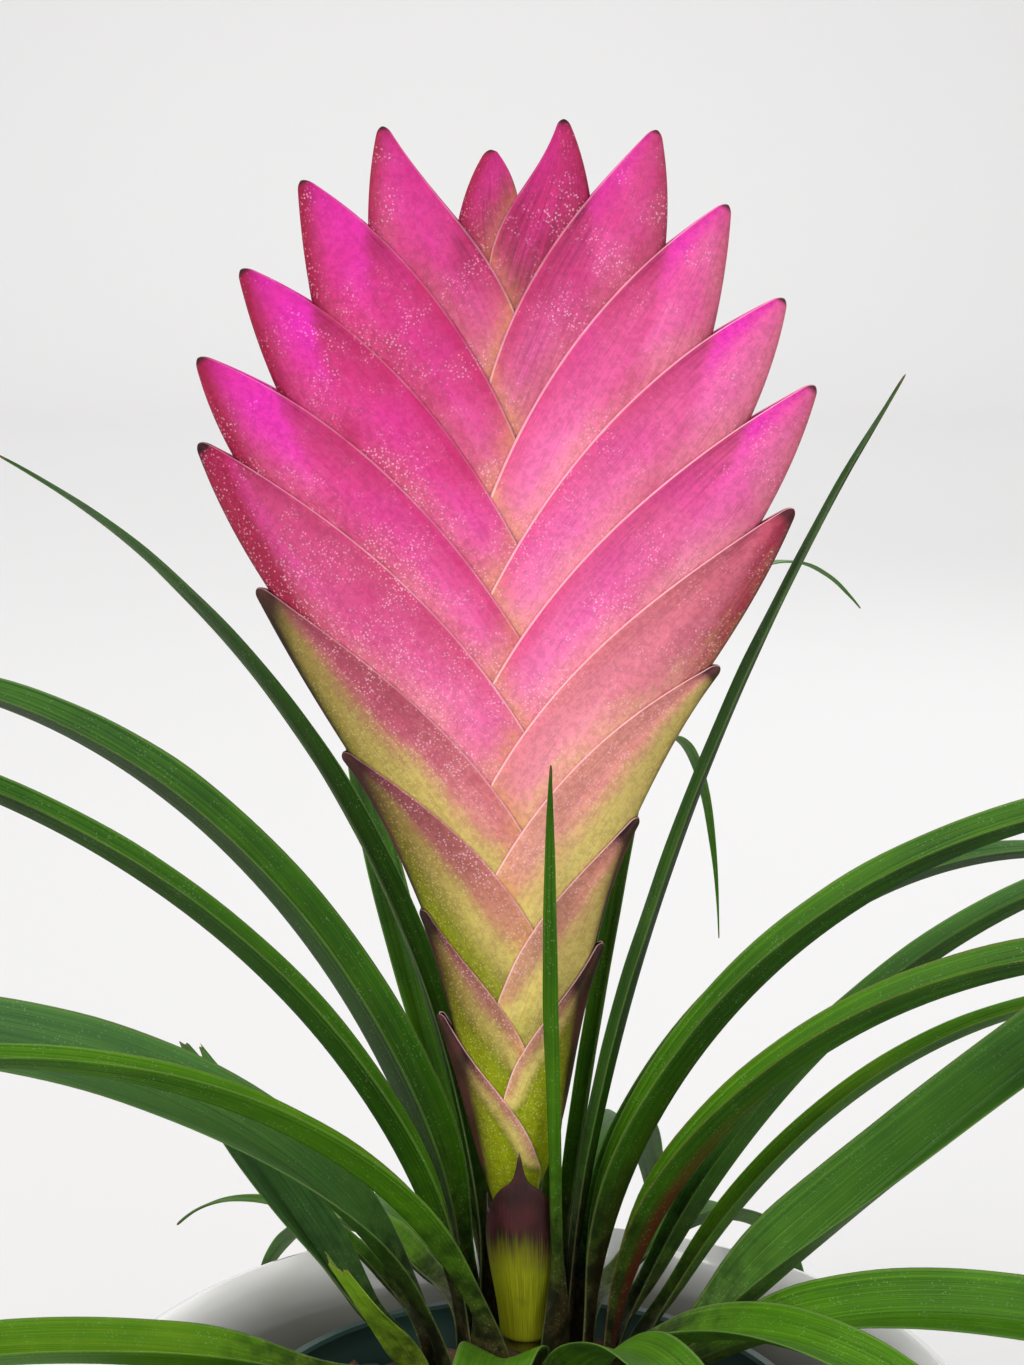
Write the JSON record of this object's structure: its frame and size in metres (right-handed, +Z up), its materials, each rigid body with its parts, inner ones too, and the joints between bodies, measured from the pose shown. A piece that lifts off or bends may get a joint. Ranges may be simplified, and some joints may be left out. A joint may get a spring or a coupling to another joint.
{
  "type": "potted pink quill plant",
  "caption": "Pink quill bromeliad: a flat fan-shaped spike of overlapping pink bracts above a rosette of arching channelled leaves, in a nursery pot set in a white cover pot.",
  "frame": {"origin": "middle of the cover pot's underside, on the axis of both pots and of the plant", "axes": "+Z up, the spike's broad face and the front towards -Y, +X to the right seen from the front"},
  "size_m": [0.3267, 0.2728, 0.2369],
  "materials": {
    "cover_pot": "white glaze, gloss",
    "nursery_pot": "dark green moulded plastic, matte",
    "growing_mix": "loose bark chips, matte",
    "crown": "brown fibrous stem with old leaf scars, matte",
    "leaf": "waxy green leaf tissue with fine lengthwise lines, satin",
    "bract": "pink bract tissue, olive to yellow-green low down, satin"
  },
  "bodies": {
    "root": {"cover_pot": "cover_pot", "nursery_pot": "nursery_pot", "growing_mix": "growing_mix", "crown": "crown", "quill": "bract", "leaf_01": "leaf", "leaf_02": "leaf", "leaf_03": "leaf", "leaf_04": "leaf", "leaf_05": "leaf", "leaf_06": "leaf", "leaf_07": "leaf", "leaf_08": "leaf", "leaf_09": "leaf", "leaf_10": "leaf", "leaf_11": "leaf", "leaf_12": "leaf", "leaf_13": "leaf", "leaf_14": "leaf", "leaf_15": "leaf", "leaf_16": "leaf", "leaf_17": "leaf", "leaf_18": "leaf", "leaf_19": "leaf", "leaf_20": "leaf", "leaf_21": "leaf", "leaf_22": "leaf", "leaf_23": "leaf", "leaf_24": "leaf", "leaf_25": "leaf", "leaf_26": "leaf", "leaf_27": "leaf", "leaf_28": "leaf", "leaf_29": "leaf", "leaf_30": "leaf", "leaf_31": "leaf", "leaf_32": "leaf"}
  },
  "joints": []
}
